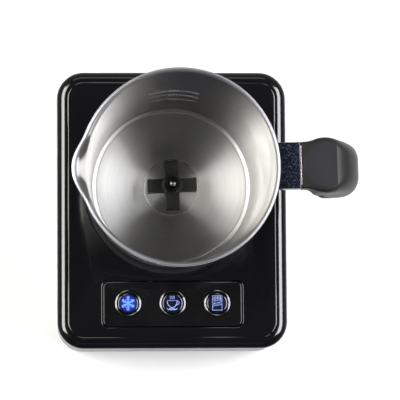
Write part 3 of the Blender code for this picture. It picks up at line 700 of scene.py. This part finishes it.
def makeJug():
    floor, steel, corner = jug["floor"], jug["steel"], jug["corner"]
    disc, rise = jug["discRadius"], jug["discRise"]
    # the raised disc under the whisk, the flat floor and the pressed ring round it
    inside = [(0.0030, floor + rise), (disc - 0.0012, floor + rise), (disc - 0.0005, floor + rise * 0.8),
              (disc, floor + rise * 0.3), (disc + 0.0006, floor), (0.030, floor), (0.042, floor),
              (0.0472, floor), (0.0475, floor - 0.0001), (0.0478, floor - 0.00025),
              (0.0482, floor - 0.0001), (0.0485, floor)]
    inside += arc(jug["floorRadius"] - corner, floor + corner, corner, -80, 0, 8)
    fineFrom, steps = jug["fineFrom"], 22
    heights = [floor + 0.008 + 0.008 * i for i in range(10)]
    heights += [fineFrom + (jug["lipStart"] - fineFrom) * i / steps for i in range(steps + 1)]
    inside += [(jugInner(z), z) for z in heights]
    bead = [(jugInner(jug["rim"]) + out, jug["rim"] - down) for out, down in lipSection]
    bend = 0.0012
    outside = [(jugInner(z) + steel, z) for z in reversed(heights)]
    outside += arc(jugInner(floor) + steel - bend, floor - steel + bend, bend, 0, -90, 6)
    outside += [(0.0030, floor - steel)]
    body = turned("jugBody", inside + bead + outside, (0, 0), 180)
    for vertex in body.data.vertices:
        radius = math.hypot(vertex.co.x, vertex.co.y)
        if vertex.co.z > jug["fineFrom"] - 0.005 and radius > jug["floorRadius"]:
            shift = spoutShift(math.atan2(vertex.co.y, -vertex.co.x), vertex.co.z)
            vertex.co.x *= (radius + shift) / radius
            vertex.co.y *= (radius + shift) / radius
    turnWithJug(body)
    smooth(body, 50)
    finishes = [steelInside, steelRim, steelOutside, steelFloorPaintedLight, steelFold]
    dress(body, finishes[0])
    for finish in finishes[1:]:
        body.data.materials.append(finish)
    for face in body.data.polygons:
        x, y, z = face.center
        reach = math.hypot(x - axisX, y - axisY)
        outwards = (face.normal.x * (x - axisX) + face.normal.y * (y - axisY)) / max(reach, 0.001)
        finish = steelInside
        if z > jug["lipStart"] + 0.001:
            finish = steelRim
        elif outwards > 0.5:
            finish = steelOutside
        elif z < floor + 0.001:
            onFold = 0.0474 < reach < 0.0483 or disc - 0.0008 < reach < disc + 0.0006
            # floor faces other than the fold take the paler steel, which is painted light
            finish = steelFold if onFold else steelFloorPaintedLight
        face.material_index = finishes.index(finish)
    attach(body, "jug")
    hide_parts("jug_body")


def makeSole():
    low, high = sole["low"], jug["floor"] - jug["steel"] - 0.0002
    radius, hole = sole["radius"], sole["hole"]
    plate = turned("jugSole", [(hole, high), (0.0500, high), (radius, high - 0.0006), (radius, low + 0.0020),
                               (0.0502, low + 0.0008), (0.0492, low), (0.0440, low), (0.0436, low + 0.0003),
                               (0.0300, low + 0.0003), (hole, low + 0.0003)], (axisX, axisY), 128)
    smooth(plate, 35)
    dress(plate, steelInside)
    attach(plate, "jug")
    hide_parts("jug_sole")


pin = {"base": 0.0040, "shaft": 0.0017, "ball": 0.0020, "neck": 0.0869, "ballAt": 0.0880}


def makePin():
    foot = jug["floor"] + jug["discRise"] + 0.0001
    wide, shaft = pin["base"], pin["shaft"]
    ball = arc(0, pin["ballAt"], pin["ball"], -40, 80, 12)
    profile = [(wide, foot), (wide, foot + 0.0006), (0.0034, foot + 0.0010),
               (shaft, foot + 0.0014), (shaft, pin["neck"])] + ball[1:]
    rod = turned("whiskPin", profile, (axisX, axisY), 48)
    smooth(rod, 50)
    dress(rod, chrome)
    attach(rod, "jug")
    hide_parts("whisk_pin")


marks = {"levels": (0.126, 0.113, 0.099), "half": math.radians(17), "width": 0.0013, "inside": 0.00006,
         "bars": 5, "barPitch": 1.3, "barHalf": 0.006, "longBar": 0.0060, "shortBar": 0.0040,
         "thick": 0.00004}


def strip(start, end, z, tall):
    # a patch of the jug's wall between two angles, bent to the wall and just inside it
    deselectAll()
    bpy.ops.mesh.primitive_plane_add(size=1)
    piece = bpy.context.object
    edit(piece, 'EDGE')
    bpy.ops.mesh.subdivide(number_cuts=16)
    bpy.ops.object.mode_set(mode='OBJECT')
    for vertex in piece.data.vertices:
        angle = start + (end - start) * (vertex.co.x + 0.5)
        level = z + tall * vertex.co.y
        reach = jugInner(level) - marks["inside"]
        vertex.co = (reach * math.sin(angle), reach * math.cos(angle), level)
    return piece


def makeMarks():
    # three etched filling lines, each with short bars in its gap, on the wall opposite the buttons
    half, width, barHalf = marks["half"], marks["width"], marks["barHalf"]
    strips = []
    for level in marks["levels"]:
        strips.append(strip(-half, half * -0.25, level, width))
        strips.append(strip(half * 0.2, half, level, width))
        for i in range(marks["bars"]):
            at = math.radians(-2.6 + i * marks["barPitch"])
            tall = marks["longBar"] if i % 2 == 0 else marks["shortBar"]
            strips.append(strip(at - barHalf, at + barHalf, level, tall))
    etched = merge("fillingMarks", strips)
    turnWithJug(etched)
    thick = etched.modifiers.new("thick", 'SOLIDIFY')
    thick.thickness = marks["thick"]
    applyModifiers(etched)
    faceOut(etched)
    dress(etched, etchedSteel)
    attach(etched, "jug")


handle = {"top": 0.1820, "low": 0.1670, "seam": 0.0723, "half": 0.0144, "stemStart": 0.050,
          "stemRound": 0.0055, "wallGap": 0.0013}
pad = {"radius": 0.0138, "x": 0.0880, "cut": 0.0940, "rise": 0.0002}
cornerSteps = 7

# the grip from the jug's axis in mm: outer point, inner point, half width, outer and inner corner radius
gripStations = [
    ((72.6, 182.0), (72.6, 168.0), 14.1, 1.3, 5.5),
    ((76.0, 182.0), (75.6, 167.2), 14.2, 1.5, 6.0),
    ((79.5, 182.0), (77.8, 164.6), 15.0, 2.0, 6.5),
    ((83.5, 182.0), (79.5, 161.0), 16.3, 2.4, 7.0),
    ((88.5, 182.0), (81.0, 156.5), 16.8, 3.2, 7.5),
    ((93.8, 181.6), (82.0, 152.0), 16.4, 5.5, 7.5),
    ((98.6, 179.3), (82.8, 147.5), 15.9, 8.5, 13.0),
    ((102.8, 175.4), (83.3, 143.0), 15.5, 10.0, 14.5),
    ((106.3, 170.0), (83.6, 138.5), 15.2, 10.8, 14.6),
    ((108.6, 163.0), (83.8, 134.0), 15.0, 10.3, 14.5),
    ((109.6, 153.0), (84.0, 129.0), 14.9, 9.3, 14.4),
    ((109.6, 142.0), (84.2, 124.0), 14.7, 8.3, 14.0),
    ((109.0, 130.0), (84.8, 118.5), 14.4, 7.8, 13.0),
    ((107.3, 119.5), (86.0, 114.0), 13.9, 7.5, 7.0),
    ((104.2, 112.6), (88.2, 110.9), 13.0, 6.5, 5.5),
    ((100.6, 109.3), (91.2, 109.0), 11.4, 4.2, 4.0),
    ((98.2, 108.2), (93.2, 108.1), 9.4, 2.5, 2.5),
]


def sectionAt(station):
    (ox, oz), (ix, iz), half, outerCorner, innerCorner = station
    length = math.hypot(ox - ix, oz - iz)
    along = ((ox - ix) / length, (oz - iz) / length)
    middle = ((ox + ix) / 2, (oz + iz) / 2)
    reach = length / 2
    points = []
    for corner, t, w, start in ((outerCorner, reach, half, 0), (innerCorner, -reach, half, 90),
                                (innerCorner, -reach, -half, 180), (outerCorner, reach, -half, 270)):
        corner = min(corner, reach * 0.98, half * 0.98)
        for i in range(cornerSteps + 1):
            a = math.radians(start + 90 * i / cornerSteps)
            x = t - math.copysign(corner, t) + corner * math.cos(a)
            y = w - math.copysign(corner, w) + corner * math.sin(a)
            points.append((x, y))
    return [Vector(((middle[0] + along[0] * x) / 1000, y / 1000, (middle[1] + along[1] * x) / 1000))
            for x, y in points]


def between(stations, count):
    # smooth stations through the given ones
    rows = [[*outer, *inner, *sizes] for outer, inner, *sizes in stations]
    rows = [rows[0]] + rows + [rows[-1]]
    result = []
    for k in range(1, len(rows) - 2):
        for i in range(count):
            t = i / count
            mixed = [0.5 * (2 * b + (c - a) * t + (2 * a - 5 * b + 4 * c - d) * t * t
                            + (3 * b - a - 3 * c + d) * t ** 3)
                     for a, b, c, d in zip(rows[k - 1], rows[k], rows[k + 1], rows[k + 2])]
            result.append(((mixed[0], mixed[1]), (mixed[2], mixed[3]), *mixed[4:]))
    return result + [stations[-1]]


def makeGrip():
    # one closed loop is pushed along the stations and laid on each section in turn
    stations = between(gripStations, 4)
    count = len(sectionAt(stations[0]))
    deselectAll()
    bpy.ops.mesh.primitive_circle_add(vertices=count, radius=0.01, fill_type='NGON')
    grip = bpy.context.object
    grip.name = "handleGrip"
    edit(grip, 'FACE')
    bpy.ops.mesh.select_all(action='SELECT')
    for index, station in enumerate(stations):
        if index:
            bpy.ops.mesh.extrude_region_move(TRANSFORM_OT_translate={"value": (0, 0, 0.001)})
        mesh = bmesh.from_edit_mesh(grip.data)
        face = next(f for f in mesh.faces if f.select)
        loop = list(face.verts)
        for vertex, place in zip(loop, sectionAt(station)):
            vertex.co = place
        bmesh.update_edit_mesh(grip.data)
    bpy.ops.mesh.inset(thickness=0.0016, depth=0.0005)
    bpy.ops.object.mode_set(mode='OBJECT')
    faceOut(grip)
    turnWithJug(grip)
    smooth(grip, 50)
    dress(grip, softTouch)
    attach(grip, "jug")
    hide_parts("handle_grip")


def makeStem():
    seam, top, low, half = handle["seam"], handle["top"], handle["low"], handle["half"]
    side = half - 0.0004
    stem = box("handleStem", (handle["stemStart"], -side, low), (seam - 0.0001, side, top - 0.0005))
    edit(stem, 'EDGE')
    choose(stem, "edges", lambda e: all(v.co.z < low + 0.001 for v in e.verts)
           and abs(e.verts[0].co.y - e.verts[1].co.y) < 0.001)
    bpy.ops.mesh.bevel(offset=handle["stemRound"], segments=8, affect='EDGES')
    bpy.ops.object.mode_set(mode='OBJECT')
    bevelEdges(stem, 0.0007, 4, 60)
    wall = [(jugInner(z) + handle["wallGap"], z) for z in (0.15, 0.20)]
    carve(stem, turned("wallTool", wall, (0, 0), 128))
    turnWithJug(stem)
    smooth(stem, 35)
    dress(stem, fleckGloss)
    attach(stem, "jug")
    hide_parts("handle_stem")


def makeTrim():
    seam, side = handle["seam"], handle["half"] - 0.0026
    trim = box("handleTrim", (seam - 0.0001, -side, handle["low"] + 0.003),
               (seam + 0.0003, side, handle["top"] - 0.0001))
    bevelEdges(trim, 0.00012, 3, 60)
    turnWithJug(trim)
    smooth(trim, 35)
    dress(trim, trimSteel)
    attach(trim, "jug")
    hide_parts("handle_trim")


def makePad():
    # a thin round pad let into the grip, with its outer side cut straight
    top, radius, rise = handle["top"], pad["radius"], pad["rise"]
    disc = turned("thumbPad", [(radius, top - 0.0014), (radius, top + 0.0001), (0.0136, top + 0.00018),
                               (0.0133, top + rise), (0.0080, top + rise), (0.0020, top + rise)],
                  (pad["x"], 0), 96)
    edit(disc)
    bpy.ops.mesh.select_all(action='SELECT')
    bpy.ops.mesh.bisect(plane_co=(pad["cut"], 0, 0), plane_no=(1, 0, 0), use_fill=True, clear_outer=True)
    bpy.ops.object.mode_set(mode='OBJECT')
    faceOut(disc)
    turnWithJug(disc)
    smooth(disc, 35)
    dress(disc, padRubberBlueReflection)
    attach(disc, "jug")
    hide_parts("thumb_pad")


# ---- whisk
whisk = {"low": 0.0690, "high": 0.0808, "span": 0.0310, "arm": 0.0083, "hub": 0.0066, "hubBore": 0.0045,
         "hubTop": 0.0838, "turn": math.radians(1)}
sleeve = {"outer": 0.0042, "bore": 0.0023, "top": 0.0858}


def makeWhisk():
    # four webs with a shallow sunk top, each ending in a taller blade, round a turned hub
    low, high, reach, half = whisk["low"], whisk["high"], whisk["span"] / 2, whisk["arm"] / 2
    arms = []
    for i in range(4):
        arm = box("whiskArm", (0.002, -half, low + 0.002), (reach - 0.0006, half, high - 0.0012))
        edit(arm, 'FACE')
        choose(arm, "faces", lambda f: f.normal.z > 0.9)
        bpy.ops.mesh.inset(thickness=0.0011, depth=-0.0006)
        bpy.ops.object.mode_set(mode='OBJECT')
        bevelEdges(arm, 0.0003, 2, 60)
        blade = box("whiskBlade", (reach - 0.0022, -half - 0.0001, low), (reach, half + 0.0001, high))
        bevelEdges(blade, 0.0004, 3, 60)
        whole = merge("whiskArm", [arm, blade])
        whole.rotation_euler = (0, 0, math.pi / 2 * i)
        arms.append(settle(whole))
    wide, bore, top = whisk["hub"], whisk["hubBore"], whisk["hubTop"]
    hubProfile = [(bore, low), (wide - 0.0004, low), (wide, low + 0.0004), (wide, high - 0.0002),
                  (wide - 0.0006, high + 0.0004), (0.0054, high + 0.0006), (0.0052, top - 0.0006),
                  (0.0047, top), (bore, top - 0.0004)]
    hub = turned("whiskHub", hubProfile, (0, 0), 64, ring=True)
    cross = merge("whiskCross", arms + [hub])
    cross.location = yawAt
    cross.rotation_euler = (0, 0, jugYaw + whisk["turn"])
    settle(cross)
    smooth(cross, 35)
    dress(cross, whiskGrey)
    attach(cross, "whisk")
    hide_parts("whisk_cross")


def makeSleeve():
    low, outer, bore = whisk["low"] + 0.0006, sleeve["outer"], sleeve["bore"]
    tube = turned("whiskSleeve", [(outer, low), (outer, 0.0850), (0.0039, 0.0857), (0.0031, sleeve["top"]),
                                  (0.0026, 0.0853), (bore, 0.0849), (bore, low)],
                  (axisX, axisY), 48, ring=True)
    smooth(tube, 40)
    dress(tube, switchBlack)
    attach(tube, "whisk_sleeve")
    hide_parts("whisk_bush")


print("making the base")
makeTopCover()
makeHousing()
makePanel()
makeButtons()
makeSeat()
print("making the jug")
makeJug()
makeSole()
makePin()
makeMarks()
makeStem()
makeTrim()
makeGrip()
makePad()
print("making the whisk")
makeWhisk()
makeSleeve()

# each of the frame's own pieces gets the finish of its slot
slotFinish = {
    "silver_housing": silver, "gloss_black": gloss, "seat_black": seatBlack, "panel_black": panelBlack,
    "chrome": chrome, "button_navy": lensNavy, "switch_black": switchBlack, "circuit_board": circuit,
    "aluminium": aluminium, "copper": copper, "inner_plastic": innerPlastic, "ferrite": ferrite,
    "rubber": rubber, "zinc_steel": zinc, "brushed_steel": steelInside, "soft_grip": softTouch,
    "whisk_plastic": whiskGrey,
}
for part in frame["record"]["subparts"]:
    dress(frame["nodes"][part["node"]], slotFinish[part["material_slot"]])

# ---- stage, light and camera
print("setting the stage")
deselectAll()
bpy.ops.mesh.primitive_plane_add(size=8, location=(0, 0, 0))
floor = bpy.context.object
floor.name = "floor"
dress(floor, newMaterial("whitePaper", Roughness=0.9, Base_Color=(0.62, 0.62, 0.62, 1))[0])

# two large soft boxes at the sides, and two faint narrow ones in front and behind
lights = [
    # name, place, size along and up, power, colour
    ("leftBox", (-0.94, 0.15, 1.09), (1.35, 0.58), 40, "#fffdf8"),
    ("rightBox", (0.92, 0.07, 1.09), (1.30, 0.60), 42, "#fbfcff"),
    ("frontFill", (-0.05, -1.1, 0.95), (0.9, 0.25), 0.45, "#8f92d8"),
    ("backFill", (-0.05, 1.1, 0.95), (0.9, 0.2), 1.2, "#f4f4f4"),
]
target = Vector((baseX, 0, 0.06))
for name, place, size, power, colour in lights:
    lamp = bpy.data.lights.new(name, 'AREA')
    lamp.shape = 'RECTANGLE'
    lamp.size, lamp.size_y = size
    lamp.energy = power
    lamp.color = hexColour(colour)[:3]
    holder = bpy.data.objects.new(name, lamp)
    holder.location = place
    holder.rotation_euler = (target - Vector(place)).to_track_quat('-Z', 'Y').to_euler()
    scene.collection.objects.link(holder)

# a dim room: pale at the horizon, almost dark overhead, and darker in front than behind
world = bpy.data.worlds.new("room")
scene.world = world
world.use_nodes = True
tree = world.node_tree
sky = addNode(tree, "ShaderNodeTexCoord").outputs["Generated"]
aim = addNode(tree, "ShaderNodeSeparateXYZ", {"Vector": sky}).outputs
glow = ramp(tree, aim["Z"], [(at, (grey, grey, grey, 1))
                             for at, grey in ((0.0, 0.60), (0.25, 0.28), (0.6, 0.08), (0.95, 0.045))])
back = addNode(tree, "ShaderNodeMath", {0: aim["Y"], 1: 1.0}, operation='ADD').outputs[0]
front = ramp(tree, back, [(0.25, (0.2, 0.2, 0.22, 1)), (0.85, (1, 1, 1, 1))])
room = addNode(tree, "ShaderNodeVectorMath", {0: glow, 1: front}, operation='MULTIPLY').outputs[0]
background = tree.nodes["Background"]
background.inputs["Strength"].default_value = 1.0
tree.links.new(room, background.inputs["Color"])

# from far above, a little to the front and left
camera = bpy.data.cameras.new("camera")
camera.sensor_width = 36
camera.lens = 256.5
camera.clip_end = 50
eye = bpy.data.objects.new("camera", camera)
eye.location = (baseX - 0.088, -0.171, 1.868)
eye.rotation_euler = Euler((math.radians(5.60), math.radians(-3.31), math.radians(-0.39)), 'XYZ')
scene.collection.objects.link(eye)
scene.camera = eye
scene.view_settings.view_transform = 'Standard'
scene.view_settings.look = 'None'
